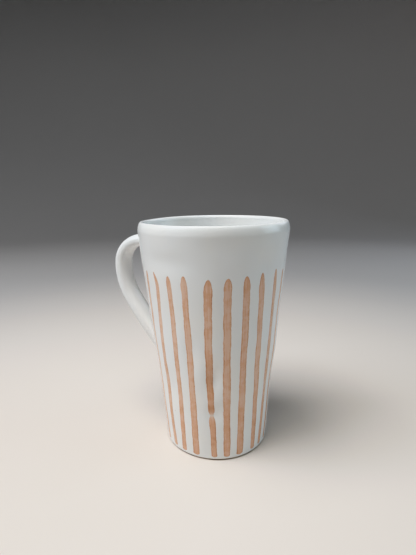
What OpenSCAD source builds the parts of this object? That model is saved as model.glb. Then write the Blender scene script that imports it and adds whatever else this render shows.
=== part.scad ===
// Tall tapered ceramic mug: a clay wall and handle, glaze inside and out, and upright brush strokes.
// The origin is the centre of the foot on the resting plane, +Z is up and the handle is on the -X side.

/* [Body] */
// Height from the resting plane to the top of the glazed lip
mug_h = 134; // [120:1:145]
// Outside diameter at the rim, over the glaze
rim_d = 90; // [84:1:96]
// Outside diameter at the foot, over the glaze
foot_d = 62.6; // [58:0.2:68]
// How far the side curves in at half height
waist = 1.2; // [0.2:0.1:2]
// Clay thickness at the lip
lip_t = 2.6; // [2.4:0.1:3.6]
// Clay thickness at the foot
foot_t = 4.2; // [3.6:0.1:5]
// Thickness of the base slab
slab_t = 5.5; // [5:0.5:7]
// Bevel round the bottom edge of the base slab
foot_bevel = 0.8; // [0.4:0.1:1.2]
// Radius of the cove that a finger leaves in the inside corner
cove_r = 6; // [5:0.5:8]

/* [Glaze] */
// Thickness of the fired glaze
glaze_t = 0.4; // [0.3:0.05:0.5]
// Height of the bare clay band at the foot, where the glaze is wiped off
bare_band = 1.4; // [1.2:0.1:3]
// How far the outer glaze comes down inside the lip
dip_depth = 5; // [4:1:12]

/* [Handle] */
// Width of the clay strap
strap_w = 13.6; // [12:0.2:15]
// Thickness of the clay strap
strap_t = 6.8; // [6:0.2:7.6]
// Height of the strap's centre at the upper joint
root_z = 120.5; // [117:0.5:121]
// Angle at which the strap rises from the wall
root_rise = 13; // [8:1:16]
// Bend radius at the crown of the handle
crown_r = 15.5; // [14.5:0.5:17]
// Bend radius along the side of the handle
side_r = 39; // [36:1:42]
// Bend radius of the tail that runs down to the wall
tail_r = 240; // [200:10:300]
// How far the clay of each joint spreads beyond the strap
joint_spread = 2; // [1.5:0.1:2.2]

/* [Strokes] */
// Width of a brush stroke
stroke_w = 3.6; // [3:0.1:4]
// Height of the top of the strokes
stroke_top = 108.5; // [95:0.5:112]
// Thickness of the colour over the glaze
stroke_t = 0.2; // [0.2:0.05:0.3]

/* [Hidden] */
$fn = 96;
// The side is made of this many straight bands
SIDE_BANDS = 8;
// Turns of the crown, the side and the tail; the tail ends inside the wall, which cuts it off
CROWN_TURN = 98;
SIDE_TURN = 35;
TAIL_TURN = 11;
// Straight clay inside the wall before the crown, and how far inside the glaze the crown starts
ROOT_LEAD = 3;
ROOT_DEPTH = 1;
// The strap is made of slices this far apart, each an oval with this many points
SLICE_STEP = 3;
OVAL_POINTS = 20;
// Squareness of the oval: 2 is an ellipse
OVAL_POWER = 2.6;
// How far each joint's clay reaches along the strap, and the thickness at which it ends
UPPER_REACH = 14;
LOWER_REACH = 28;
JOINT_EDGE = 0.12;
// How far the cove's circle passes outside the wall and the slab, so that its edges are clean
COVE_BITE = 0.3;
// Bare glaze below a stroke
STROKE_GAP = 0.2;
// Angle of each hand-placed stroke, anticlockwise from +X; the gap at 180 is left for the handle
STROKE_ANGLES = [
    -136, -122, -107, -93, -76.5, -61.5, -47, -32.5, -18, -5,
    10, 25, 40.5, 55.5, 70.5, 86, 101, 116, 131.5, 146.5, 161.5, 197, 210
];

lip_r = lip_t / 2;
lip_z = mug_h - glaze_t - lip_r;

// Radii of the four surfaces of the side at height z, from the outside in
function glaze_out(z) =
    let (down = 1 - z / mug_h)
    rim_d / 2 + (foot_d - rim_d) / 2 * down - 4 * waist * down * (1 - down);
function clay_out(z) = glaze_out(z) - glaze_t;
function clay_in(z) = clay_out(z) - foot_t - (lip_t - foot_t) * z / mug_h;
function glaze_in(z) = clay_in(z) - glaze_t;

function level(i) = i * mug_h / SIDE_BANDS;
function stroke_name(i) = str("stroke_", i < 10 ? "0" : "", i);

lip_centre = [clay_out(lip_z) - lip_r, lip_z];
cove_centre = [clay_in(slab_t + cove_r - COVE_BITE) + COVE_BITE - cove_r, slab_t + cove_r - COVE_BITE];

STROKE_COUNT = len(STROKE_ANGLES);

CLAY = [0.90, 0.85, 0.77];
WHITE_GLAZE = [0.93, 0.93, 0.91];
TERRACOTTA = [0.85, 0.62, 0.50];

// Half outline between the axis and a line of radii, for the whole height
module inside_of(radii) {
    polygon(concat([[0, 0]], [for (i = [0 : SIDE_BANDS]) [radii[i], level(i)]], [[0, mug_h]]));
}

module inside_glaze_out() inside_of([for (i = [0 : SIDE_BANDS]) glaze_out(level(i))]);
module inside_clay_out() inside_of([for (i = [0 : SIDE_BANDS]) clay_out(level(i))]);
module inside_clay_in() inside_of([for (i = [0 : SIDE_BANDS]) clay_in(level(i))]);
module inside_glaze_in() inside_of([for (i = [0 : SIDE_BANDS]) glaze_in(level(i))]);

// Keeps the part of an outline between two heights
module between(low, high) {
    intersection() {
        children();
        translate([0, low]) square([rim_d, high - low]);
    }
}

// The corner that the coil fills, with a coat of glaze over it
module corner(coat) {
    difference() {
        translate([cove_centre[0], slab_t]) square([cove_r + foot_t, cove_r - COVE_BITE]);
        translate(cove_centre) circle(cove_r - coat);
    }
}

// Thrown or slab-rolled wall, thinner towards a rounded lip
module wall() {
    color(CLAY) rotate_extrude() {
        between(slab_t, lip_z) difference() {
            inside_clay_out();
            inside_clay_in();
        }
        between(lip_z, mug_h) translate(lip_centre) circle(lip_r);
    }
}

// Flat clay base that the wall stands on, with its bottom edge bevelled
module base_slab() {
    beyond = foot_bevel + 1;
    color(CLAY) rotate_extrude() difference() {
        between(0, slab_t) inside_clay_out();
        translate([clay_out(0) - foot_bevel, 0]) polygon([[0, 0], [beyond, 0], [beyond, beyond]]);
    }
}

// Coil of soft clay that is pressed into the inside corner to hold the base to the wall
module seam_coil() {
    color(CLAY) rotate_extrude() intersection() {
        corner(0);
        between(slab_t, lip_z) inside_clay_in();
    }
}

// Point reached from [distance out, height, heading] along an arc with this length and downward turn
function arc_end(from, length, turn) =
    let (chord = turn == 0 ? length : length * sin(turn / 2) / (turn / 2 * PI / 180))
    [from[0] + chord * cos(from[2] - turn / 2), from[1] + chord * sin(from[2] - turn / 2), from[2] - turn];

// Slices along one arc, each [distance out, height, heading, length so far]
function arc_slices(from, sofar, length, turn) =
    let (count = ceil(length / SLICE_STEP))
    [for (i = [1 : count])
        let (part = i / count)
        concat(arc_end(from, length * part, turn * part), sofar + length * part)];

function last(list) = list[len(list) - 1];

crown_len = crown_r * CROWN_TURN * PI / 180;
side_len = side_r * SIDE_TURN * PI / 180;
tail_len = tail_r * TAIL_TURN * PI / 180;
strap_len = ROOT_LEAD + crown_len + side_len + tail_len;

crown_start = [glaze_out(root_z) - ROOT_DEPTH, root_z, root_rise, ROOT_LEAD];
root_slice = concat(arc_end(crown_start, -ROOT_LEAD, 0), 0);
crown_slices = arc_slices(crown_start, ROOT_LEAD, crown_len, CROWN_TURN);
side_slices = arc_slices(last(crown_slices), ROOT_LEAD + crown_len, side_len, SIDE_TURN);
tail_slices = arc_slices(last(side_slices), strap_len - tail_len, tail_len, TAIL_TURN);
strap_slices = concat([root_slice, crown_start], crown_slices, side_slices, tail_slices);

// How much the joints' clay adds to the strap at a length along it
function ease(x) = x > 0 ? x * x : 0;
function joint_growth(length) =
    joint_spread * (ease(1 - length / UPPER_REACH) + ease(1 - (strap_len - length) / LOWER_REACH));

function signed_power(x) = sign(x) * pow(abs(x), 2 / OVAL_POWER);

// Oval outline of the strap round one slice, grown by a coat
function slice_points(slice, coat) =
    [for (i = [0 : OVAL_POINTS - 1])
        let (a = 360 * i / OVAL_POINTS,
             across = (strap_t / 2 + coat) * signed_power(cos(a)),
             along = (strap_w / 2 + coat) * signed_power(sin(a)))
        [-slice[0] + across * sin(slice[2]), along, slice[1] + across * cos(slice[2])]];

// Closed tube through slices; growth adds the joints' clay when it is 1
module strap(slices, coat, growth) {
    n = OVAL_POINTS;
    end = (len(slices) - 1) * n;
    polyhedron(
        [for (s = slices) each slice_points(s, coat + growth * joint_growth(s[3]))],
        concat(
            [[for (i = [0 : n - 1]) i]],
            [for (row = [0 : n : end - n], i = [0 : n - 1]) each
                let (next = (i + 1) % n)
                [[row + i, row + n + i, row + next], [row + next, row + n + i, row + n + next]]],
            [[for (i = [n - 1 : -1 : 0]) end + i]]
        )
    );
}

// Slices of one joint, up to where its clay thins out
upper_slices = [for (s = strap_slices) if (s[3] < strap_len / 2 && joint_growth(s[3]) > JOINT_EDGE) s];
lower_slices = [for (s = strap_slices) if (s[3] > strap_len / 2 && joint_growth(s[3]) > JOINT_EDGE) s];

// Everything inside the clay's outer face, which cuts off what is joined to the wall
module clay_body() {
    rotate_extrude() inside_clay_out();
}

// Pulled clay strap that bends out from the wall, over the crown and down the long tail
module handle() {
    color(CLAY) difference() {
        strap(strap_slices, 0, 0);
        clay_body();
    }
}

// Clay that is worked round the strap at one joint
module joint(slices) {
    color(CLAY) difference() {
        strap(slices, 0, 1);
        strap(strap_slices, 0, 0);
        clay_body();
    }
}

module upper_joint() joint(upper_slices);
module lower_joint() joint(lower_slices);

// White glaze over the outside and the lip, open where the handle is joined
module outer_glaze() {
    color(WHITE_GLAZE) difference() {
        rotate_extrude() {
            between(bare_band, lip_z) difference() {
                inside_glaze_out();
                inside_clay_out();
            }
            between(lip_z, mug_h) translate(lip_centre) difference() {
                circle(lip_r + glaze_t);
                circle(lip_r);
            }
            between(lip_z - dip_depth, lip_z) difference() {
                inside_clay_in();
                inside_glaze_in();
            }
        }
        strap(strap_slices, glaze_t, 1);
    }
}

// White glaze poured inside, over the wall, the coil and the base
module liner_glaze() {
    color(WHITE_GLAZE) rotate_extrude() between(slab_t, lip_z - dip_depth) difference() {
        inside_clay_in();
        corner(0);
        difference() {
            between(slab_t + glaze_t, lip_z) inside_glaze_in();
            corner(glaze_t);
        }
    }
}

// White glaze all round the strap and over both joints
module handle_glaze() {
    color(WHITE_GLAZE) difference() {
        strap(strap_slices, glaze_t, 1);
        strap(strap_slices, 0, 1);
        clay_body();
    }
}

// One brush stroke: a thin layer of colour on the glaze, with round ends
module stroke(i) {
    low = bare_band + STROKE_GAP + stroke_w / 2;
    high = stroke_top - stroke_w / 2;
    color(TERRACOTTA) rotate([0, 0, STROKE_ANGLES[i - 1]]) intersection() {
        rotate_extrude() difference() {
            translate([stroke_t, 0]) inside_glaze_out();
            inside_glaze_out();
        }
        rotate([90, 0, 90]) linear_extrude(rim_d / 2) {
            translate([-stroke_w / 2, low]) square([stroke_w, high - low]);
            for (z = [low, high]) translate([0, z]) circle(stroke_w / 2);
        }
    }
}

wall();
base_slab();
seam_coil();
handle();
upper_joint();
lower_joint();
outer_glaze();
liner_glaze();
handle_glaze();
for (i = [1 : STROKE_COUNT]) stroke(i);
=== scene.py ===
# %% [markdown]
# # A tall handmade mug
#
# This mug is white glazed clay with a strap handle and upright brush strokes. A potter makes it in order:
# the wall and base, the handle, the glaze, and the brushwork. This script follows the same order. Every
# piece starts as a perfect shape with the sizes of the solid model, and one function then presses it into
# the slightly uneven shape that hands leave. That way neighbouring pieces move together.
#
# One thing is simpler here than in the solid model. The outer glaze is a whole skin, with no openings cut in
# it, so the ends of the strap, its joints and the undersides of the strokes run into it out of sight.

# %% Load the solid model
import functools
import math
import random

import bmesh
import bpy
from mathutils import Matrix, Vector, noise


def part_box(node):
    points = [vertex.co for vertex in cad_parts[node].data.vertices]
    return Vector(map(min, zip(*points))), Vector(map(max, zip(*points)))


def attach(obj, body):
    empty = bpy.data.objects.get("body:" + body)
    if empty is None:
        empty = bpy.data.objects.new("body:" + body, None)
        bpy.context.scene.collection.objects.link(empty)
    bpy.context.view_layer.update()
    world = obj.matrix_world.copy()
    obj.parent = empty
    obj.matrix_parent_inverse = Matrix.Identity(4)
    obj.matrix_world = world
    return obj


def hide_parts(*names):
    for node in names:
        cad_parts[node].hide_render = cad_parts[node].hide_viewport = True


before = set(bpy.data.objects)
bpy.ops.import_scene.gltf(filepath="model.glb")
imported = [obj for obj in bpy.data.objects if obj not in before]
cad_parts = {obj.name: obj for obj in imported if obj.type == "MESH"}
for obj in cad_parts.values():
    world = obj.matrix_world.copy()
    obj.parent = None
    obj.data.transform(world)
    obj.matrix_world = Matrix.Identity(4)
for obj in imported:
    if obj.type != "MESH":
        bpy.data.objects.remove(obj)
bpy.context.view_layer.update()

# %% [markdown]
# ## Sizes
#
# The height and the rim come from the solid model's own pieces. The thicknesses of clay and glaze repeat
# the solid model's, because a box can't tell them. Everything else is worked out from these.

# %% Sizes of the mug
MM = 0.001
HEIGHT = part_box("outer_glaze")[1].z
RIM_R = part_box("outer_glaze")[1].y
FOOT_R = 31.3 * MM
WAIST = 1.2 * MM
GLAZE = 0.4 * MM
LIP_CLAY = 2.6 * MM
FOOT_CLAY = 4.2 * MM
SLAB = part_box("base_slab")[1].z
BARE_BAND = 0.9 * MM
LINER_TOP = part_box("liner_glaze")[1].z


def side_radius(z):
    """Radius of the glazed outside at height z: a straight taper that curves in a little at the waist."""
    down = 1 - z / HEIGHT
    return RIM_R + (FOOT_R - RIM_R) * down - 4 * WAIST * down * (1 - down)


def clay_thickness(z):
    """The wall gets thinner from the foot to the lip."""
    return FOOT_CLAY + (LIP_CLAY - FOOT_CLAY) * z / HEIGHT


waist_r = side_radius(HEIGHT / 2)
print(f"height {HEIGHT / MM:.1f} mm, rim radius {RIM_R / MM:.1f} mm, waist radius {waist_r / MM:.1f} mm")

# %% [markdown]
# ## The camera
#
# The mug is seen close up, from a little above the rim, with the handle to the left and turned slightly
# away. The camera's place is given from the foot of the mug: how far back it stands, how far to the side,
# and how high. `BACK` and `RIGHT` are directions on the table as this camera sees them, and the light uses
# them too.

# %% Camera
CAMERA_TURN = math.radians(20)
CAMERA_BACK = 223.7 * MM
CAMERA_ASIDE = -5.05 * MM
CAMERA_HEIGHT = 149.7 * MM
CAMERA_TILT = math.radians(12.49)
CAMERA_ROLL = math.radians(-0.29)
LENS = 24.97
RIGHT = Vector((math.cos(CAMERA_TURN), math.sin(CAMERA_TURN), 0))
BACK = Vector((-math.sin(CAMERA_TURN), math.cos(CAMERA_TURN), 0))
UP = Vector((0, 0, 1))

lens = bpy.data.cameras.new("camera")
lens.lens = LENS
lens.sensor_width = 36
lens.clip_start = 0.01
camera = bpy.data.objects.new("camera", lens)
bpy.context.scene.collection.objects.link(camera)
camera.location = RIGHT * CAMERA_ASIDE - BACK * CAMERA_BACK + UP * CAMERA_HEIGHT
camera.rotation_mode = "QUATERNION"
looking = BACK * math.cos(CAMERA_TILT) - UP * math.sin(CAMERA_TILT)
camera.rotation_quaternion = (
    looking.to_track_quat("-Z", "Y") @ Matrix.Rotation(CAMERA_ROLL, 3, "Z").to_quaternion()
)
bpy.context.scene.camera = camera
print("camera at", tuple(round(c, 3) for c in camera.location))

# %% [markdown]
# ## What hands do to the clay
#
# A thrown or slab-built mug is never quite round. It leans a little towards the handle and its lip is
# drawn in. Its rim is higher on one side and dips at the handle, and fingers leave shallow hollows.
# `by_hand` takes a point of the perfect mug and returns where it ends up. Each entry of `PRESSES` is one
# soft hollow (minus) or swelling (plus): its angle and height, how deep it is, and how far it reaches
# round and up.

# %% The uneven hand
LEAN = RIGHT * -0.0138
PRESSES = [
    # angle, height mm, depth mm, reach in degrees, reach mm
    (-72, 52, -1.60, 5.6, 6.4),
    (-72, 30, -0.85, 7.0, 4.5),
    (-73, 39, 0.25, 8.0, 3),
    (-91, 66, -0.80, 7.0, 9),
    (-119, 42, -0.70, 8.0, 10),
    (-108, 115, -0.55, 20.0, 5),
    (-60, 95, -0.35, 9.0, 14),
    (-62, 124, -0.35, 14.0, 6),
    (-34, 114, -0.60, 9.0, 6),
    (-36, 58, -0.45, 9.0, 12),
    (10, 85, -0.30, 14.0, 7),
    (20, 84, 0.35, 32.0, 22),
    (22, 116, -0.50, 26.0, 13),
    (4, 60, 0.45, 8.0, 9),
    (40, 84, -0.70, 9.0, 16),
    (62, 38, -0.60, 7.0, 8),
    (85, 52, -0.65, 8.0, 12),
    (128, 96, 0.50, 12.0, 12),
    (152, 34, -0.70, 9.0, 10),
    (-150, 78, 0.30, 10.0, 18),
]
WAVE_DEPTH = 0.50 * MM
WAVE_SIZE = 34 * MM
OVAL = 0.2 * MM
OVAL_TURN = -25
DRAWN_IN = 0.95 * MM
DRAWN_FROM = 104 * MM
RIM_RISE = 0.25 * MM
RIM_TILT = 0.42 * MM
RIM_HIGH_SIDE = 50
RIM_MOVES_FROM = 0.8 * HEIGHT
HANDLE_DIP = 0.5 * MM
HANDLE_DIP_AT = 182
HANDLE_DIP_REACH = 28


def wander(x, y, z):
    """Smooth noise between about -0.7 and 0.7."""
    return noise.noise(Vector((x, y, z)), noise_basis="PERLIN_NEW")


def smooth_step(low, high, x):
    t = min(1, max(0, (x - low) / (high - low)))
    return t * t * (3 - 2 * t)


def press(angle, z):
    """How far all the finger marks together move the side out, at an angle in degrees and a height."""
    out = 0
    for centre, height, depth, wide, tall in PRESSES:
        round_it = ((angle - centre + 180) % 360 - 180) / wide
        up_it = (z / MM - height) / tall
        out += depth * MM * math.exp(-round_it * round_it - up_it * up_it)
    return out


def by_hand(place):
    """Moves a point of the perfect mug to where the potter's hands left it."""
    place = Vector(place)
    radius = math.hypot(place.x, place.y)
    z = place.z
    angle = math.degrees(math.atan2(place.y, place.x))
    swell = press(angle, z)
    swell += WAVE_DEPTH * wander(*(place / WAVE_SIZE + Vector((3.1, 7.7, 1.3))))
    swell += OVAL * math.cos(2 * math.radians(angle - OVAL_TURN)) * z / HEIGHT
    swell -= DRAWN_IN * max(0, (z - DRAWN_FROM) / (HEIGHT - DRAWN_FROM)) ** 2
    share = min(1, radius / side_radius(z))
    turn = math.radians(angle)
    rise = RIM_RISE + RIM_TILT * math.cos(turn - math.radians(RIM_HIGH_SIDE))
    rise -= HANDLE_DIP * math.exp(-(((angle % 360) - HANDLE_DIP_AT) / HANDLE_DIP_REACH) ** 2)
    rise *= share * smooth_step(RIM_MOVES_FROM, HEIGHT, z)
    outward = Vector((math.cos(turn), math.sin(turn), 0))
    return place + outward * swell * share + LEAN * z + UP * rise


rim_point = Vector((RIM_R, 0, HEIGHT))
moved = by_hand(rim_point) - rim_point
print("a point of the rim moves", tuple(round(c / MM, 2) for c in moved), "mm")

# %% [markdown]
# ## Helpers for making pieces
#
# Two ways of making a surface cover the whole mug. `turned` spins an outline round the axis, as a wheel
# does. `wrapped` bends a flat grid into any surface that is given as a function of two numbers, which suits
# the handle and the brush strokes.

# %% Helper: spin an outline
SAME_PLACE = 0.001 * MM


def turned(outline, steps):
    """Spins (radius, height) points round the axis. An outline that leaves the axis open is closed."""
    bm = bmesh.new()
    points = [bm.verts.new((radius, 0, z)) for radius, z in outline]
    edges = [bm.edges.new(pair) for pair in zip(points, points[1:])]
    if outline[0][0] > 0:
        edges.append(bm.edges.new((points[-1], points[0])))
    bmesh.ops.spin(
        bm, geom=points + edges, axis=UP, cent=(0, 0, 0), angle=math.tau, steps=steps, use_merge=True
    )
    bmesh.ops.remove_doubles(bm, verts=bm.verts, dist=SAME_PLACE)
    bmesh.ops.recalc_face_normals(bm, faces=bm.faces)
    return bm


# %% Helper: bend a grid
def wrapped(across, along, place):
    """Bends a flat grid into the surface place(u, v), with u and v from 0 to 1. Its UV map stays flat."""
    bm = bmesh.new()
    bmesh.ops.create_grid(bm, x_segments=across, y_segments=along, size=0.5)
    flat = bm.loops.layers.uv.new("flat")
    for face in bm.faces:
        for corner in face.loops:
            corner[flat].uv = corner.vert.co.xy + Vector((0.5, 0.5))
    for point in bm.verts:
        point.co = place(point.co.x + 0.5, point.co.y + 0.5)
    bmesh.ops.remove_doubles(bm, verts=bm.verts, dist=SAME_PLACE)
    bmesh.ops.recalc_face_normals(bm, faces=bm.faces)
    return bm


# %% Helper: finish a piece
CREASE = math.radians(50)


def finish_piece(bm, name, material, slot, *nodes):
    """Presses the piece by hand, shades it smooth with creases at sharp edges, and puts it in the model."""
    for point in bm.verts:
        point.co = by_hand(point.co)
    for face in bm.faces:
        face.smooth = True
    for edge in bm.edges:
        edge.smooth = edge.calc_face_angle(0) < CREASE
    mesh = bpy.data.meshes.new(name)
    bm.to_mesh(mesh)
    bm.free()
    mesh.materials.append(material)
    piece = bpy.data.objects.new(name, mesh)
    bpy.context.scene.collection.objects.link(piece)
    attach(piece, "root")
    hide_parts(*nodes)
    print(f"{name}: {len(mesh.polygons)} faces")
    return piece


# %% [markdown]
# ## Materials: helpers
#
# Each material is a network of nodes. `Nodes` keeps the code that makes one short: it adds a node, sets its
# values and joins its inputs in one call. Patterns that more than one material uses are node groups, made
# once with named sockets.

# %% Helper: add and join nodes
class Nodes:
    """Adds nodes to a tree. An input is either a value or the output that feeds it."""

    def __init__(self, tree):
        self.tree = tree

    def add(self, kind, settings=None, **inputs):
        node = self.tree.nodes.new(kind)
        for name, value in (settings or {}).items():
            setattr(node, name, value)
        for name, value in inputs.items():
            key = int(name[1:]) if name[1:].isdigit() else name.replace("_", " ")
            socket = node.inputs[key]
            if isinstance(value, bpy.types.NodeSocket):
                self.tree.links.new(value, socket)
            else:
                socket.default_value = value
        return node

    def maths(self, operation, a, b=0.0, clamp=False):
        node = self.add("ShaderNodeMath", {"operation": operation, "use_clamp": clamp}, i0=a, i1=b)
        return node.outputs[0]

    def mix(self, amount, a, b, blend="MIX"):
        node = self.add("ShaderNodeMix", {"data_type": "RGBA", "blend_type": blend}, i0=amount, i6=a, i7=b)
        return node.outputs[2]

    def between(self, value, low, high, to_low=0.0, to_high=1.0):
        """Maps a value smoothly from one range to another and stops at its ends."""
        node = self.add(
            "ShaderNodeMapRange", {"interpolation_type": "SMOOTHSTEP"},
            Value=value, From_Min=low, From_Max=high, To_Min=to_low, To_Max=to_high,
        )
        return node.outputs[0]

    def cloud(self, where, scale, detail=2.0, roughness=0.5):
        """Soft noise between 0 and 1."""
        node = self.add("ShaderNodeTexNoise", Vector=where, Scale=scale, Detail=detail, Roughness=roughness)
        return node.outputs[0]


def new_group(name, inputs, outputs):
    """Makes a node group with named sockets, and returns its Nodes with its input and output nodes."""
    tree = bpy.data.node_groups.new(name, "ShaderNodeTree")
    for socket, kind in inputs:
        tree.interface.new_socket(socket, in_out="INPUT", socket_type=kind)
    for socket, kind in outputs:
        tree.interface.new_socket(socket, in_out="OUTPUT", socket_type=kind)
    nodes = Nodes(tree)
    return nodes, nodes.add("NodeGroupInput").outputs, nodes.add("NodeGroupOutput")


def new_material(name):
    """Makes an empty material and returns it with its Nodes and its Principled shader."""
    material = bpy.data.materials.new(name)
    material.use_nodes = True
    material.node_tree.nodes.clear()
    nodes = Nodes(material.node_tree)
    shader = nodes.add("ShaderNodeBsdfPrincipled")
    nodes.add("ShaderNodeOutputMaterial", Surface=shader.outputs[0])
    return material, nodes, shader


COLOR = "NodeSocketColor"
FLOAT = "NodeSocketFloat"
VECTOR = "NodeSocketVector"

# %% [markdown]
# ## Group: the skin of a glaze
#
# Fired glaze is not a flat white. It is a shade warmer where it runs thin and a shade cooler where it
# pools, and it has a few pinholes. Its surface is a little uneven in three ways: slow swells, faint upright
# curtains where it ran down before it set, and a very fine orange peel. All of it is small, so the group
# works on a base colour that the material gives. The gloss is even, and set on the material itself.

# %% Group: glaze skin
glaze_nodes, glaze_in, glaze_out = new_group(
    "glaze_skin",
    [("Where", VECTOR), ("Colour", COLOR)],
    [("Colour", COLOR), ("Height", FLOAT)],
)
where = glaze_in["Where"]
pooled = glaze_nodes.between(glaze_nodes.cloud(where, 30, 3), 0.3, 0.7)
tint = glaze_nodes.mix(pooled, (1.0, 0.992, 0.972, 1), (0.978, 0.990, 1.0, 1))
toned = glaze_nodes.mix(1.0, glaze_in["Colour"], tint, "MULTIPLY")
pits = glaze_nodes.add("ShaderNodeTexVoronoi", Vector=where, Scale=210.0).outputs["Distance"]
chosen = glaze_nodes.between(glaze_nodes.cloud(where, 150, 1), 0.68, 0.72)
pit = glaze_nodes.maths("MULTIPLY", glaze_nodes.between(pits, 0.10, 0.03), chosen)
pitted = glaze_nodes.mix(glaze_nodes.maths("MULTIPLY", pit, 0.5), toned, (0.42, 0.33, 0.25, 1))
stretched = glaze_nodes.add("ShaderNodeMapping", Vector=where, Scale=(1.0, 1.0, 0.08)).outputs[0]
curtains = glaze_nodes.cloud(stretched, 260, 2)
swell = glaze_nodes.cloud(where, 70, 0)
peel = glaze_nodes.cloud(where, 700, 1)
height = glaze_nodes.maths("ADD", swell, glaze_nodes.maths("MULTIPLY", curtains, 0.10))
height = glaze_nodes.maths("ADD", height, glaze_nodes.maths("MULTIPLY", peel, 0.03))
height = glaze_nodes.maths("SUBTRACT", height, glaze_nodes.maths("MULTIPLY", pit, 0.5))
glaze_nodes.tree.links.new(pitted, glaze_out.inputs["Colour"])
glaze_nodes.tree.links.new(height, glaze_out.inputs["Height"])
GLAZE_SKIN = glaze_nodes.tree

# %% [markdown]
# ## Material: white glaze
#
# The glaze is a clear glassy coat over a white body, so a Principled shader with a pale base colour, a
# low roughness and a thin coat is enough. The pattern uses Object coordinates, because every piece sits at
# the origin and so one pattern runs on across all of them.

# %% Material: white glaze
WHITE = (0.865, 0.87, 0.86, 1)
GLAZE_ROUGHNESS = 0.26
COAT_WEIGHT = 0.25
COAT_ROUGHNESS = 0.12
PEEL_DEPTH = 0.03 * MM

white_glaze, nodes, shader = new_material("white_glaze")
place = nodes.add("ShaderNodeTexCoord").outputs["Object"]
skin = nodes.add("ShaderNodeGroup", {"node_tree": GLAZE_SKIN}, Where=place, Colour=WHITE)
bump = nodes.add("ShaderNodeBump", Height=skin.outputs["Height"], Distance=PEEL_DEPTH, Strength=1.0)
nodes.tree.links.new(skin.outputs["Colour"], shader.inputs["Base Color"])
shader.inputs["Roughness"].default_value = GLAZE_ROUGHNESS
nodes.tree.links.new(bump.outputs[0], shader.inputs["Normal"])
shader.inputs["Coat Weight"].default_value = COAT_WEIGHT
shader.inputs["Coat Roughness"].default_value = COAT_ROUGHNESS

# %% [markdown]
# ## Material: bare clay
#
# The foot is wiped clean before firing, so it shows the clay: warm, matt and gritty, with faint rings from
# the wheel. The rings are a wave on the distance from the axis.

# %% Material: bare clay
CLAY_LIGHT = (0.66, 0.53, 0.39, 1)
CLAY_DARK = (0.50, 0.37, 0.25, 1)
GRIT = (0.25, 0.16, 0.10, 1)
RING_SPACING = 1.6 * MM
GRIT_DEPTH = 0.15 * MM

bare_clay, nodes, shader = new_material("bare_clay")
place = nodes.add("ShaderNodeTexCoord").outputs["Object"]
flat = nodes.add("ShaderNodeVectorMath", {"operation": "MULTIPLY"}, i0=place, i1=(1, 1, 0)).outputs[0]
from_axis = nodes.add("ShaderNodeVectorMath", {"operation": "LENGTH"}, i0=flat).outputs["Value"]
wobble = nodes.maths("MULTIPLY", nodes.cloud(place, 90), 2.5)
turns = nodes.maths("ADD", nodes.maths("MULTIPLY", from_axis, math.tau / RING_SPACING), wobble)
rings = nodes.maths("SINE", turns)
grain = nodes.cloud(place, 900, 4, 0.65)
tone = nodes.mix(nodes.between(nodes.cloud(place, 120, 3), 0.3, 0.7), CLAY_DARK, CLAY_LIGHT)
speck = nodes.between(nodes.cloud(place, 1500, 1), 0.66, 0.72)
gritty = nodes.mix(nodes.maths("MULTIPLY", speck, 0.6), tone, GRIT)
nodes.tree.links.new(gritty, shader.inputs["Base Color"])
height = nodes.maths("ADD", nodes.maths("MULTIPLY", rings, 0.25), grain)
bump = nodes.add("ShaderNodeBump", Height=height, Distance=GRIT_DEPTH, Strength=1.0)
nodes.tree.links.new(bump.outputs[0], shader.inputs["Normal"])
nodes.tree.links.new(nodes.between(grain, 0.2, 0.8, 0.72, 0.92), shader.inputs["Roughness"])

# %% [markdown]
# ## The clay body
#
# Wall, base and corner coil are turned from simple outlines. They are covered by glaze except at the foot,
# but a mug is built from them, and a cut model or an exported mesh shows them. The lip is an arch of two
# quarter ellipses. The outer one is wider and much taller, which gives the soft outward roll that a sponge
# leaves on a rim.

# %% Clay wall
LIP_OUTER = 5.0 * MM
LIP_INNER = 2.4 * MM
LIP_PEAK = 2.25 * MM
BODY_STEPS = 144


def heights(low, high, count):
    return [low + (high - low) * i / count for i in range(count + 1)]


def lip_arch(inset, count):
    """Points of the lip from outside to inside, inset from the glaze's surface."""
    peak = RIM_R - LIP_PEAK
    low_outside = HEIGHT - LIP_OUTER
    low_inside = HEIGHT - LIP_INNER
    inside = side_radius(low_inside) - 2 * GLAZE - clay_thickness(low_inside)
    points = []
    for i in range(1, count):
        turn = math.pi / 2 * i / count
        wide = side_radius(low_outside) - inset - peak
        points.append((peak + wide * math.cos(turn), low_outside + (LIP_OUTER - inset) * math.sin(turn)))
    for i in range(count):
        turn = math.pi / 2 * i / count
        wide = peak - inside - inset
        points.append((peak - wide * math.sin(turn), low_inside + (LIP_INNER - inset) * math.cos(turn)))
    return points


def outer_line(inset, low, high, count):
    return [(side_radius(z) - inset, z) for z in heights(low, high, count)]


def inner_line(inset, low, high, count):
    """The inside of the wall, inset outwards from the liner's surface into the clay."""
    coats = 2 * GLAZE - inset
    return [(side_radius(z) - coats - clay_thickness(z), z) for z in heights(low, high, count)]


wall_outline = outer_line(GLAZE, SLAB, HEIGHT - LIP_OUTER, 60) + lip_arch(GLAZE, 8)
wall_outline += inner_line(GLAZE, SLAB, HEIGHT - LIP_INNER, 60)[::-1]
finish_piece(turned(wall_outline, BODY_STEPS), "clay_wall", bare_clay, "clay", "wall")

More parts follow.
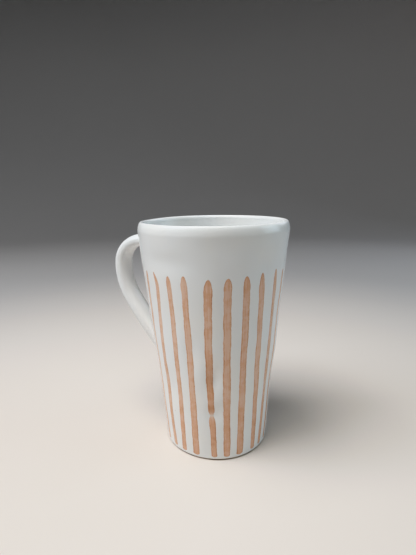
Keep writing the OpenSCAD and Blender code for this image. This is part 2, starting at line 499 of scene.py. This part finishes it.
# %% Clay base
FOOT_BEVEL = 0.8 * MM
base_r = side_radius(0) - GLAZE
base_outline = [(0, 0)]
base_outline += [(base_r * i / 12, 0) for i in range(1, 12)]
for i in range(5):
    turn = math.pi / 2 * i / 4
    base_outline.append(
        (base_r - FOOT_BEVEL * (1 - math.sin(turn)), FOOT_BEVEL * (1 - math.cos(turn)))
    )
base_outline += outer_line(GLAZE, 1.2 * FOOT_BEVEL, SLAB, 4)
base_outline += [(base_r * i / 6, SLAB) for i in range(5, -1, -1)]
finish_piece(turned(base_outline, BODY_STEPS), "clay_base", bare_clay, "clay", "base_slab")

# %% [markdown]
# ## The coil in the corner
#
# A coil of soft clay pressed into the inside corner ties the wall to the base. A fingertip leaves it with a
# hollow face. Its outline is a quarter circle from the base to the wall.

# %% Corner coil
COVE_R = 6 * MM
COVE_STEPS = 12


def wall_inside(z, inset):
    return side_radius(z) - 2 * GLAZE + inset - clay_thickness(z)


def cove(inset):
    """The hollow face of the corner, from the base up to the wall. The inset goes into the clay."""
    floor = SLAB + GLAZE - inset
    points = []
    for i in range(COVE_STEPS + 1):
        turn = math.pi / 2 * i / COVE_STEPS
        z = floor + COVE_R * (1 - math.cos(turn))
        corner = wall_inside(z, inset)
        points.append((corner - COVE_R * (1 - math.sin(turn)), z))
    return points


coil_outline = cove(GLAZE) + [(wall_inside(SLAB, GLAZE), SLAB)]
finish_piece(turned(coil_outline, BODY_STEPS), "clay_coil", bare_clay, "clay", "seam_coil")

# %% [markdown]
# ## The glaze outside and inside
#
# The outer glaze is a shell that follows the wall, goes over the lip and stops a little way down inside,
# where the liner begins. The surface has a fine grid, so that the finger marks are real shape. At the foot
# the glaze ends in a small rounded bead, as it does where it creeps back from the wiped clay.

# %% Outer glaze
GLAZE_STEPS = 288
BEAD = 0.12 * MM
BEAD_UP = 0.7
BEAD_REACH = 0.6


def beaded(points):
    """Swells the glaze a little just above its lower edge."""
    return [
        (r + BEAD * math.exp(-(((z - BARE_BAND) / MM - BEAD_UP) / BEAD_REACH) ** 2), z) for r, z in points
    ]


def edge_round(z, inset_from, inset_to):
    """Half circle of points between two faces of the glaze, at its lower edge."""
    middle = (inset_from + inset_to) / 2
    half = (inset_to - inset_from) / 2
    turns = [math.pi * i / 6 for i in range(1, 6)]
    return [(side_radius(z) - middle - half * math.cos(t), z - abs(half) * math.sin(t)) for t in turns]


shown = beaded(outer_line(0, BARE_BAND + GLAZE / 2, HEIGHT - LIP_OUTER, 140))
outer_outline = shown + lip_arch(0, 14) + inner_line(0, LINER_TOP, HEIGHT - LIP_INNER, 4)[::-1]
outer_outline += inner_line(GLAZE, LINER_TOP, HEIGHT - LIP_INNER, 4) + lip_arch(GLAZE, 8)[::-1]
outer_outline += outer_line(GLAZE, BARE_BAND + GLAZE / 2, HEIGHT - LIP_OUTER, 40)[::-1]
outer_outline += edge_round(BARE_BAND + GLAZE / 2, GLAZE, 0)
finish_piece(turned(outer_outline, GLAZE_STEPS), "glaze_outside", white_glaze, "white_glaze", "outer_glaze")

# %% Liner glaze
FLOOR_RINGS = 14
cove_start = cove(0)[0][0]
floor_points = [cove_start * i / FLOOR_RINGS for i in range(FLOOR_RINGS)]
liner_outline = [(r, SLAB + GLAZE) for r in floor_points] + cove(0)
liner_outline += inner_line(0, SLAB + GLAZE + COVE_R, LINER_TOP, 90)[1:]
liner_outline += inner_line(GLAZE, SLAB + COVE_R, LINER_TOP, 30)[::-1]
liner_outline += cove(GLAZE)[-2::-1] + [(r, SLAB) for r in floor_points[:0:-3]] + [(0, SLAB)]
finish_piece(turned(liner_outline, BODY_STEPS), "glaze_inside", white_glaze, "white_glaze", "liner_glaze")

# %% [markdown]
# ## The handle's path
#
# A pulled handle is a strap of clay that leaves the wall just under the rim, turns over the crown and runs
# down in a long tail. Its path is three arcs joined end to end, as in the solid model. A place on the path
# is how far out it is, how high, and which way it heads.

# %% Path of the strap
STRAP_W = 13.6 * MM
STRAP_T = 6.8 * MM
ROOT_Z = 121.1 * MM
ROOT_RISE = 13.9
ROOT_DEPTH = 1 * MM
ROOT_LEAD = 3 * MM
ARCS = [(15.55 * MM, 99.4), (39 * MM, 35), (240 * MM, 11)]
OVAL_POWER = 2.6


def arc_end(start, length, turn):
    """Where a path gets to along an arc that turns down by some degrees."""
    out, z, heading = start
    half = math.radians(turn) / 2
    chord = length * math.sin(half) / half if half else length
    way = math.radians(heading) - half
    return out + chord * math.cos(way), z + chord * math.sin(way), heading - turn


def strap_path(length):
    """Place on the path at a length from its start, which is inside the wall."""
    place = (side_radius(ROOT_Z) - ROOT_DEPTH, ROOT_Z, ROOT_RISE)
    left = length - ROOT_LEAD
    if left < 0:
        return arc_end(place, left, 0)
    for radius, turn in ARCS:
        whole = radius * math.radians(turn)
        part = min(1, left / whole)
        place = arc_end(place, whole * part, turn * part)
        left -= whole * part
    return place


CROWN_START = 12 * MM
TAIL_START = 60 * MM
STRAP_LENGTH = ROOT_LEAD + sum(radius * math.radians(turn) for radius, turn in ARCS)


def strap_point(length, around, inset):
    """Point on the strap's skin: around goes from 0 to 1 round its oval section."""
    out, z, heading = strap_path(length)
    turn = math.tau * around
    rounding = 2 / OVAL_POWER
    across = math.copysign(abs(math.cos(turn)) ** rounding, math.cos(turn)) * (STRAP_T / 2 + GLAZE - inset)
    along = math.copysign(abs(math.sin(turn)) ** rounding, math.sin(turn)) * (STRAP_W / 2 + GLAZE - inset)
    lean = math.radians(heading)
    return Vector((-out + across * math.sin(lean), along, z + across * math.cos(lean)))


reach = max(strap_path(i * MM)[0] for i in range(90))
print(f"the strap is {STRAP_LENGTH / MM:.0f} mm long, and reaches {reach / MM:.1f} mm out")

# %% [markdown]
# ## Where the strap meets the wall
#
# The potter presses a little clay round each end of the strap and smooths it into the wall. In the model,
# every line that runs along the strap leaves it a few millimetres before the wall, bends away, and lands
# flat on the wall. The bend is a Bezier curve. It is drawn in the wall's own terms, as an angle, a height
# and a distance off the wall, so that it always lands flat, whatever the wall's shape.

# %% Curves from the strap to the wall
SINK = 0.03 * MM


def above_wall(point, inset):
    """A point in the wall's terms: angle, height, and distance off the wall."""
    radius = math.hypot(point.x, point.y)
    return Vector((math.atan2(point.y, -point.x), point.z, radius - side_radius(point.z) + inset))


def from_wall(terms, inset):
    turn, z, off = terms
    radius = side_radius(z) - inset + off
    return Vector((-radius * math.cos(turn), radius * math.sin(turn), z))


@functools.cache
def landing(around, inset, start, end):
    """Length along the strap at which one of its lines goes through the wall, between two lengths."""
    inside = above_wall(strap_point(start, around, inset), inset).z < 0
    for _ in range(30):
        middle = (start + end) / 2
        if (above_wall(strap_point(middle, around, inset), inset).z < 0) == inside:
            start = middle
        else:
            end = middle
    return start


class Joint:
    """One end of the strap: its search lengths, which way the wall lies, and how far the clay spreads."""

    def __init__(self, start, end, towards_wall, spread, smear):
        self.start = start
        self.end = end
        self.towards_wall = towards_wall
        self.spread = spread
        self.smear = smear

    def leave(self, around, inset):
        """Length at which a line leaves the strap for the wall."""
        return landing(around, inset, self.start, self.end) - self.towards_wall * self.spread

    def curve(self, around, t, inset):
        """Point of the curve from the strap (t = 0) to the wall (t = 1)."""
        hit = landing(around, inset, self.start, self.end)
        centre = above_wall(strap_point(landing(0.25, inset, self.start, self.end), 0.25, inset), inset)
        other = above_wall(strap_point(landing(0.75, inset, self.start, self.end), 0.75, inset), inset)
        middle = (centre + other) / 2
        a = above_wall(strap_point(hit - self.towards_wall * self.spread, around, inset), inset)
        foot = above_wall(strap_point(hit, around, inset), inset)
        radius = side_radius(foot.y)
        away = Vector(((foot.x - middle.x) * radius, foot.y - middle.y, 0)).normalized() * self.smear
        d = foot + Vector((away.x / radius, away.y, 0))
        b = a.lerp(foot, 0.8)
        c = foot.lerp(d, 0.4)
        d.z = -SINK
        s = 1 - t
        return from_wall(a * s**3 + b * 3 * s * s * t + c * 3 * s * t * t + d * t**3, inset)


UPPER = Joint(0, CROWN_START, -1, 4.0 * MM, 3.6 * MM)
LOWER = Joint(TAIL_START, STRAP_LENGTH, 1, 7.5 * MM, 5.0 * MM)
print(f"the strap's top line leaves the wall at {landing(0, 0, 0, CROWN_START) / MM:.1f} mm")

# %% [markdown]
# ## Handle, joints and their glaze
#
# The handle's glaze is one skin from wall to wall: a grid whose columns go round the strap and whose rows
# go along it, first up the curve of the upper joint, then along the strap, then down the lower joint's
# curve. Solidify gives it thickness. The clay strap inside it is the same grid, set in by the glaze and
# closed at its ends, and each joint is a ring of clay between the strap, the wall and the curve.

# %% Clay handle
STRAP_ROUND = 56
CLAY_ROWS = 70
GLAZE_ROWS = 110
RING_ROWS = 24
CURVE_SHARE = 0.16
SET_IN = 1.2 * MM


def handle_skin(around, v, inset):
    """Point of the handle's surface: v goes from the upper landing (0) along the strap to the lower (1)."""
    if v < CURVE_SHARE:
        return UPPER.curve(around, 1 - v / CURVE_SHARE, inset)
    if v > 1 - CURVE_SHARE:
        return LOWER.curve(around, 1 - (1 - v) / CURVE_SHARE, inset)
    part = (v - CURVE_SHARE) / (1 - 2 * CURVE_SHARE)
    first = UPPER.leave(around, inset)
    last = LOWER.leave(around, inset)
    return strap_point(first + (last - first) * part, around, inset)


def strap_clay(around, v):
    """The bare strap, from inside the wall to inside the wall."""
    first = landing(around, GLAZE, UPPER.start, UPPER.end) - SET_IN
    last = landing(around, GLAZE, LOWER.start, LOWER.end) + SET_IN
    return strap_point(first + (last - first) * v, around, GLAZE)


bm = wrapped(STRAP_ROUND, CLAY_ROWS, strap_clay)
bmesh.ops.holes_fill(bm, edges=[e for e in bm.edges if e.is_boundary], sides=0)
bmesh.ops.recalc_face_normals(bm, faces=bm.faces)
finish_piece(bm, "clay_handle", bare_clay, "clay", "handle")

# %% Clay joints
def joint_ring(joint):
    """A ring of clay: each of its slices is the curve, then the wall, then the strap."""

    def place(around, v):
        hit = strap_point(landing(around, GLAZE, joint.start, joint.end), around, GLAZE)
        if v <= 0.5:
            return joint.curve(around, 2 * v, GLAZE)
        if v <= 0.75:
            return joint.curve(around, 1, GLAZE).lerp(hit, (v - 0.5) * 4)
        return hit.lerp(joint.curve(around, 0, GLAZE), (v - 0.75) * 4)

    return wrapped(STRAP_ROUND, RING_ROWS, place)


finish_piece(joint_ring(UPPER), "clay_upper_joint", bare_clay, "clay", "upper_joint")
finish_piece(joint_ring(LOWER), "clay_lower_joint", bare_clay, "clay", "lower_joint")

# %% Handle glaze
HANDLE_COAT = 0.8 * GLAZE
bm = wrapped(STRAP_ROUND, GLAZE_ROWS, lambda around, v: handle_skin(around, v, 0))
handle_glaze = finish_piece(bm, "glaze_handle", white_glaze, "white_glaze", "handle_glaze")
thickness = handle_glaze.modifiers.new("coat", "SOLIDIFY")
thickness.thickness = HANDLE_COAT
thickness.offset = -1

# %% [markdown]
# ## The brush strokes
#
# Each stroke was one pull of a loaded brush from the top of the pattern to the foot. It starts as a soft
# round tip, wanders a little, and gets thinner and darker on the way down as the colour runs with it. A
# stroke is a grid laid on the side: its columns go across the brush and its rows go along the pull. It
# stands a few hundredths of a millimetre proud in the middle and dips under the glaze at its edges, so it
# has no step. A number stored at every point says how much colour the brush leaves; on the skipped stroke
# it also carries painted shade.

# %% Shape of a stroke
STROKE_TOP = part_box("stroke_01")[1].z
STROKE_LOW = BARE_BAND + 0.1 * MM
HOOK_FROM = 0.90
STROKE_PROUD = 0.06 * MM
STROKE_SINK = 0.03 * MM
STROKE_COAT = 0.15 * MM
ACROSS = 12
ALONG = 110
STROKE_SEED = 1000

# The brush skipped over a finger hollow in one stroke, a little above the foot.
SKIPPED = 5
SKIP_Z = 29.3 * MM

# In these strokes the brush came down on its point, so their tips are long and sharp.
POINTED = {2, 8, 9, 13, 18, 22}

# Facts of the strokes on the front: how far the stroke's top, middle and foot lie from the
# solid's place, in degrees; how far its tip stands over the common top and its width at the top and at the
# foot, in mm; and how far the very tip hooks sideways, in degrees.
FRONT = {
    1: (3.0, -3.6, 0.0, 0.0, 3.2, 3.6, 0),
    2: (5.0, -1.8, 1.0, 0.6, 3.3, 3.6, -5.0),
    3: (1.5, 0.4, -0.2, -0.2, 3.5, 3.6, -0.6),
    4: (0.0, 0.1, 0.4, 0.7, 4.0, 4.6, 0),
    5: (1.5, 0.5, 3.7, -0.5, 5.0, 3.5, 0),
    6: (0.4, 0.5, 1.3, 0.0, 4.9, 4.3, 0),
    7: (-0.5, 0.8, 0.5, 0.7, 4.4, 4.9, 0),
    8: (-2.3, 1.5, 2.9, 1.4, 4.3, 3.8, 0.8),
    9: (-1.7, 1.2, 0.2, 2.1, 3.3, 3.4, 0),
    10: (-1.5, 0.3, 0.2, 0.5, 3.1, 3.1, 0),
}


def stroke_facts(number):
    """The facts of one stroke. The strokes round the back are drawn by chance within the same limits."""
    chance = random.Random(STROKE_SEED + number)
    if number in FRONT:
        return FRONT[number], chance
    turns = [chance.uniform(-1.5, 1.5) for _ in range(3)]
    tip = chance.uniform(-1.2, 1.5)
    wide = chance.uniform(3.7, 4.7)
    return (*turns, tip, wide, wide - chance.uniform(0.1, 0.8), chance.uniform(-1.5, 1.5)), chance


def stroke_load_and_shade(number, z, chance_at):
    """How much colour lies at a height, wandering round 1. On the skipped stroke it also holds painted
    shade.
    """
    load = 1.0 + 0.35 * wander(number * 7.3, z / (11 * MM), chance_at)
    if number == SKIPPED:
        load -= 0.85 * math.exp(-(((z - SKIP_Z) / MM) / 1.7) ** 2)
        # Painted shade: the skipped stroke is darkened just above the skip and over a long stretch round 46
        # mm, where the finger hollows turn away from the light.
        load += 0.45 * math.exp(-(((z - SKIP_Z) / MM - 4.5) / 2.4) ** 2)
        load += 0.30 * smooth_step(24 * MM, 12 * MM, abs(z - 46 * MM))
    return max(0.1, min(1.6, load))


# %% Make the strokes
def make_stroke(number, material):
    node = f"stroke_{number:02d}"
    low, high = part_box(node)
    home = math.degrees(math.atan2((low.y + high.y) / 2, (low.x + high.x) / 2))
    (turn_top, turn_middle, turn_low, tip, wide_top, wide_low, hook), chance = stroke_facts(number)
    top = STROKE_TOP + tip * MM
    bottom = STROKE_LOW + chance.uniform(0, 0.2) * MM
    seed = chance.uniform(0, 50)
    bow = turn_middle - (turn_top + turn_low) / 2

    def half_width(t):
        """Half the stroke's width at a part t of its length from the foot."""
        wide = (wide_low + (wide_top - wide_low) * t ** 0.8) * MM / 2
        tip_length = (2.4 if number in POINTED else 1.4) * wide_top * MM
        from_tip = min(1, (1 - t) * (top - bottom) / tip_length)
        wide *= math.sqrt(1 - (1 - from_tip) ** 2)
        z = bottom + (top - bottom) * t
        if number == SKIPPED:
            wide *= 1 - 0.45 * math.exp(-(((z - SKIP_Z) / MM) / 1.8) ** 2)
        return max(0.02 * MM, wide)

    def place(u, v):
        t = 1 - (1 - v) ** 1.15
        z = bottom + (top - bottom) * t
        side = 2 * u - 1
        wobble = 0.18 * wander(seed, z / (7 * MM), side * 0.4)
        wobble += 0.08 * wander(seed + 9, z / (1.7 * MM), side)
        reach = side * half_width(t) * (1 + wobble)
        drift = turn_low + (turn_top - turn_low) * t + bow * 4 * t * (1 - t)
        drift += hook * max(0, (t - HOOK_FROM) / (1 - HOOK_FROM)) ** 2
        drift += 0.3 * wander(seed + 20, z / (20 * MM), 0.5)
        radius = side_radius(z)
        turn = math.radians(home + drift) + reach / radius
        proud = STROKE_PROUD * (1 - side * side) - STROKE_SINK * side ** 4
        return Vector(((radius + proud) * math.cos(turn), (radius + proud) * math.sin(turn), z))

    bm = wrapped(ACROSS, ALONG, place)
    outward = Vector((math.cos(math.radians(home)), math.sin(math.radians(home)), 0))
    bm.faces.ensure_lookup_table()
    if bm.faces[0].normal.dot(outward) < 0:
        bmesh.ops.reverse_faces(bm, faces=bm.faces)
    load = bm.verts.layers.float.new("load")
    for point in bm.verts:
        point[load] = stroke_load_and_shade(number, point.co.z, seed)
    stroke = finish_piece(bm, f"brush_{node}", material, "brush_colour", node)
    coat = stroke.modifiers.new("coat", "SOLIDIFY")
    coat.thickness = STROKE_COAT
    coat.offset = -1


# %% [markdown]
# ## Group and material: the colour of a stroke
#
# Thin ceramic colour behaves like watercolour. It is pale in the middle, gathers in a darker line along
# the edges, and shows streaks from the bristles. The group reads the stroke's flat map, so the streaks run
# along the pull whichever way the stroke lies, and it fades into the white of the glaze at the very edge.

# %% Group: brush wash
PALE = (0.785, 0.535, 0.405, 1)
MIDDLE = (0.725, 0.415, 0.265, 1)
DEEP = (0.58, 0.27, 0.13, 1)

wash_nodes, wash_in, wash_out = new_group(
    "brush_wash",
    [("Flat", VECTOR), ("Where", VECTOR), ("Load", FLOAT), ("White", COLOR)],
    [("Colour", COLOR), ("Height", FLOAT)],
)


def sum_of(nodes, *values):
    total = values[0]
    for value in values[1:]:
        total = nodes.maths("ADD", total, value)
    return total


split = wash_nodes.add("ShaderNodeSeparateXYZ", i0=wash_in["Flat"]).outputs
along = split[1]
signed = wash_nodes.maths("MULTIPLY", wash_nodes.maths("SUBTRACT", split[0], 0.5), 2.0)
ragged = wash_nodes.maths("SUBTRACT", wash_nodes.cloud(wash_in["Where"], 1300, 2), 0.5)
from_middle = wash_nodes.maths("ABSOLUTE", signed)
side = wash_nodes.maths("ADD", from_middle, wash_nodes.maths("MULTIPLY", ragged, 0.25))

# The brush pressed harder now on one edge and now on the other, so the dark line changes sides.
slow = wash_nodes.maths("SUBTRACT", wash_nodes.cloud(wash_in["Where"], 45, 1), 0.45)
pressed = wash_nodes.maths("MULTIPLY", wash_nodes.maths("MULTIPLY", slow, 3.0), signed)
edge_line = wash_nodes.between(side, 0.50, 0.82)
edge_dark = wash_nodes.maths("MULTIPLY", edge_line, wash_nodes.between(pressed, -0.9, 0.7, 0.25, 0.85))

streak_map = wash_nodes.add("ShaderNodeMapping", Vector=wash_in["Flat"], Scale=(8.0, 6.0, 1.0)).outputs[0]
seeded = wash_nodes.add("ShaderNodeVectorMath", {"operation": "ADD"}, i0=streak_map, i1=wash_in["Where"])
streaks = wash_nodes.cloud(seeded.outputs[0], 1.0, 3, 0.6)
puddles = wash_nodes.cloud(wash_in["Where"], 260, 3, 0.6)
# The Load input deepens the colour. On the skipped stroke it also carries painted shade.
depth = sum_of(
    wash_nodes,
    edge_dark,
    wash_nodes.between(puddles, 0.35, 0.70, -0.10, 0.25),
    wash_nodes.between(streaks, 0.35, 0.70, -0.08, 0.30),
    wash_nodes.between(along, 0.65, 0.05, 0.0, 0.28),
    wash_nodes.between(along, 0.93, 0.995, 0.0, 0.35),
    wash_nodes.maths("MULTIPLY", wash_nodes.maths("SUBTRACT", wash_in["Load"], 1.0), 0.9),
)
thin = wash_nodes.mix(wash_nodes.between(depth, -0.05, 0.45), PALE, MIDDLE)
wash = wash_nodes.mix(wash_nodes.between(depth, 0.40, 1.15), thin, DEEP)
fade = wash_nodes.between(side, 1.02, 0.88)
laid = wash_nodes.maths("MULTIPLY", wash_nodes.between(wash_in["Load"], 0.0, 0.7), fade)
painted = wash_nodes.mix(wash_nodes.maths("MULTIPLY", laid, 0.97), wash_in["White"], wash)
edge_relief = wash_nodes.maths("MULTIPLY", edge_line, 0.5)
relief = wash_nodes.maths("ADD", edge_relief, wash_nodes.maths("MULTIPLY", streaks, 0.5))
wash_nodes.tree.links.new(painted, wash_out.inputs["Colour"])
wash_nodes.tree.links.new(wash_nodes.maths("MULTIPLY", relief, fade), wash_out.inputs["Height"])

# %% Material: brush colour
brush_colour, nodes, shader = new_material("brush_colour")
place = nodes.add("ShaderNodeTexCoord").outputs["Object"]
flat = nodes.add("ShaderNodeUVMap", {"uv_map": "flat"}).outputs[0]
load = nodes.add("ShaderNodeAttribute", {"attribute_name": "load"}).outputs["Fac"]
skin = nodes.add("ShaderNodeGroup", {"node_tree": GLAZE_SKIN}, Where=place, Colour=WHITE)
paint = nodes.add(
    "ShaderNodeGroup", {"node_tree": wash_nodes.tree},
    Flat=flat, Where=place, Load=load, White=skin.outputs["Colour"],
)
nodes.tree.links.new(paint.outputs["Colour"], shader.inputs["Base Color"])
shader.inputs["Roughness"].default_value = GLAZE_ROUGHNESS
height = nodes.maths("ADD", skin.outputs["Height"], nodes.maths("MULTIPLY", paint.outputs["Height"], 0.35))
bump = nodes.add("ShaderNodeBump", Height=height, Distance=PEEL_DEPTH, Strength=1.0)
nodes.tree.links.new(bump.outputs[0], shader.inputs["Normal"])
shader.inputs["Coat Weight"].default_value = COAT_WEIGHT
shader.inputs["Coat Roughness"].default_value = COAT_ROUGHNESS

for name in sorted(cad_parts):
    if name.startswith("stroke_"):
        make_stroke(int(name[-2:]), brush_colour)

# %% [markdown]
# ## Studio
#
# The floor is a wide pale disc that curves up into a wall all round, so no horizon cuts the picture from
# any side. Its tone is painted light: a painted pool of light round the mug that fades to painted shade, a
# greyer tone, further away. This keeps the eye on the mug and dims what the mug's front reflects.
#
# Five soft lights stand round the mug at one distance. A cool window on the left and two warmer ones
# overhead do most of the work. A weak cool fill on the right and one behind keep the far edges from going
# dull. The window and the fills are cool and the ceiling warm, so the white glaze shows its curves by
# colour as well as by brightness.

# %% Floor
FLOOR_R = 1.1
FLOOR_BEND = 0.7
WALL_TOP = 2.2
BEND_STEPS = 12
floor_outline = [(0, 0), (0.25, 0), (0.6, 0)]
for i in range(BEND_STEPS + 1):
    turn = math.pi / 2 * i / BEND_STEPS
    floor_outline.append((FLOOR_R + FLOOR_BEND * math.sin(turn), FLOOR_BEND * (1 - math.cos(turn))))
floor_outline.append((FLOOR_R + FLOOR_BEND, WALL_TOP))
bm = bmesh.new()
points = [bm.verts.new((radius, 0, z)) for radius, z in floor_outline]
edges = [bm.edges.new(pair) for pair in zip(points, points[1:])]
bmesh.ops.spin(
    bm, geom=points + edges, axis=UP, cent=(0, 0, 0), angle=math.tau, steps=96, use_merge=True
)
bmesh.ops.remove_doubles(bm, verts=bm.verts, dist=MM)
for face in bm.faces:
    face.smooth = True
floor_mesh = bpy.data.meshes.new("floor")
bm.to_mesh(floor_mesh)
bm.free()
floor = bpy.data.objects.new("floor", floor_mesh)
bpy.context.scene.collection.objects.link(floor)

# Painted light: the floor is brighter near the mug, a painted pool of light, and greyer further away,
# painted shade.
FLOOR_NEAR_LIT = (0.70, 0.64, 0.585, 1)
FLOOR_FAR_SHADED = (0.42, 0.405, 0.395, 1)

pale_floor, nodes, shader = new_material("pale_floor")
place = nodes.add("ShaderNodeTexCoord").outputs["Object"]
from_mug = nodes.add("ShaderNodeVectorMath", {"operation": "LENGTH"}, i0=place).outputs["Value"]
tone = nodes.mix(nodes.between(from_mug, 0.10, 0.55), FLOOR_NEAR_LIT, FLOOR_FAR_SHADED)
nodes.tree.links.new(tone, shader.inputs["Base Color"])
shader.inputs["Roughness"].default_value = 0.9
floor_mesh.materials.append(pale_floor)

# %% Lights
AIM = Vector((0, 0, 0.07))
LIGHT_DISTANCE = 1.1
LIGHT_SIZE = 0.6


def soft_light(name, turn, lift, power, colour):
    """A square soft light aimed at the mug. The turn is from the camera's side to the right, in degrees."""
    lamp = bpy.data.lights.new(name, "AREA")
    lamp.shape = "SQUARE"
    lamp.size = LIGHT_SIZE
    lamp.energy = power
    lamp.color = colour
    light = bpy.data.objects.new(name, lamp)
    bpy.context.scene.collection.objects.link(light)
    turn = math.radians(turn)
    lift = math.radians(lift)
    way = (RIGHT * math.sin(turn) - BACK * math.cos(turn)) * math.cos(lift) + UP * math.sin(lift)
    light.location = AIM + way * LIGHT_DISTANCE
    light.rotation_mode = "QUATERNION"
    light.rotation_quaternion = (-way).to_track_quat("-Z", "Y")


soft_light("window", -75, 48, 6.0, (0.84, 0.91, 1.0))
soft_light("ceiling_left", -65, 70, 6.4, (1.0, 0.97, 0.98))
soft_light("ceiling_front", -30, 70, 4.3, (0.98, 1.0, 0.93))
soft_light("right_fill", 90, 20, 2.9, (0.68, 0.88, 1.0))
soft_light("back_fill", 130, 30, 1.4, (0.80, 0.86, 1.0))

world = bpy.data.worlds.new("studio")
world.use_nodes = True
background = world.node_tree.nodes["Background"]
background.inputs["Color"].default_value = (0.80, 0.86, 0.95, 1)
background.inputs["Strength"].default_value = 0.02
bpy.context.scene.world = world
bpy.context.scene.view_settings.view_transform = "Khronos PBR Neutral"
